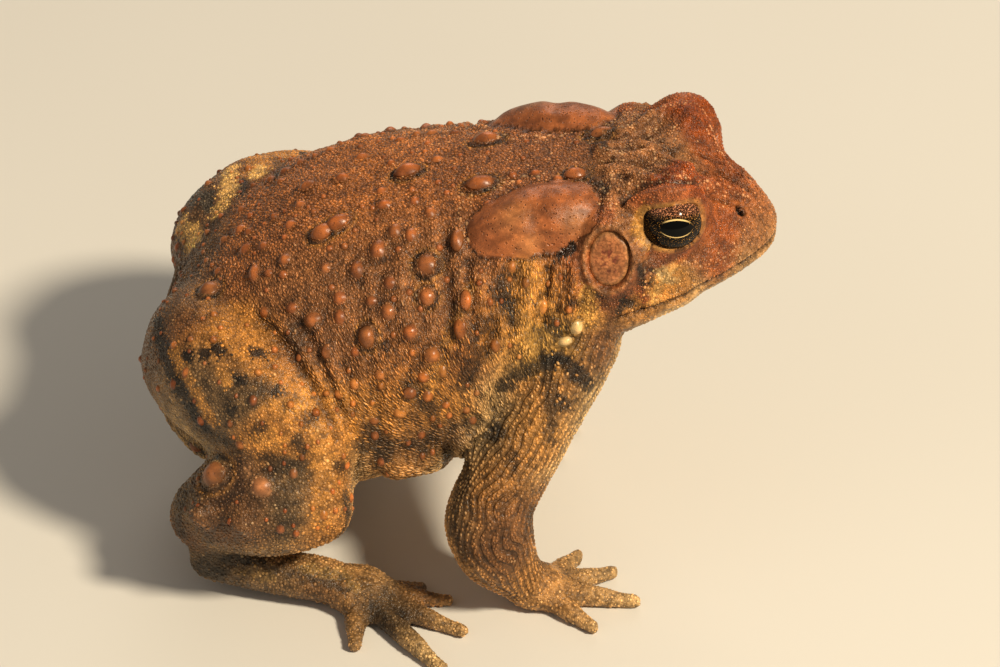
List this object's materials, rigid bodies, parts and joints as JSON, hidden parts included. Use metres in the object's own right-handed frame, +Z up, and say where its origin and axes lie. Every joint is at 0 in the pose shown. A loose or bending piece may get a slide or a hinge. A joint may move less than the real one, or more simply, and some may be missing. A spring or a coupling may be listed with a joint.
{
  "type": "american toad",
  "caption": "Stout warty toad sitting up on its forelegs, head level, with large parotoid glands behind the eyes, round eardrums and folded hind legs.",
  "frame": {"origin": "on the floor, under the middle of the toad's bounding box", "axes": "+X the way the toad faces, +Y its left, +Z up"},
  "size_m": [0.0806, 0.0798, 0.0584],
  "materials": {
    "toad_skin": "moist, finely granular rust brown and ochre skin with dark blotches",
    "gland_skin": "smooth, finely pitted rusty gland skin",
    "eardrum_skin": "smooth brown pink membrane",
    "eyeball": "wet and clear over a coppery iris"
  },
  "bodies": {
    "root": {"torso": "toad_skin", "head": "toad_skin", "lower_jaw": "toad_skin", "eye_left": "eyeball", "eye_right": "eyeball", "tympanum_left": "eardrum_skin", "tympanum_right": "eardrum_skin", "parotoid_left": "gland_skin", "parotoid_right": "gland_skin", "upper_arm_left": "toad_skin", "upper_arm_right": "toad_skin", "forearm_left": "toad_skin", "forearm_right": "toad_skin", "hand_left": "toad_skin", "hand_right": "toad_skin", "thigh_left": "toad_skin", "thigh_right": "toad_skin", "shank_left": "toad_skin", "shank_right": "toad_skin", "tarsus_left": "toad_skin", "tarsus_right": "toad_skin", "foot_left": "toad_skin", "foot_right": "toad_skin"}
  },
  "joints": []
}
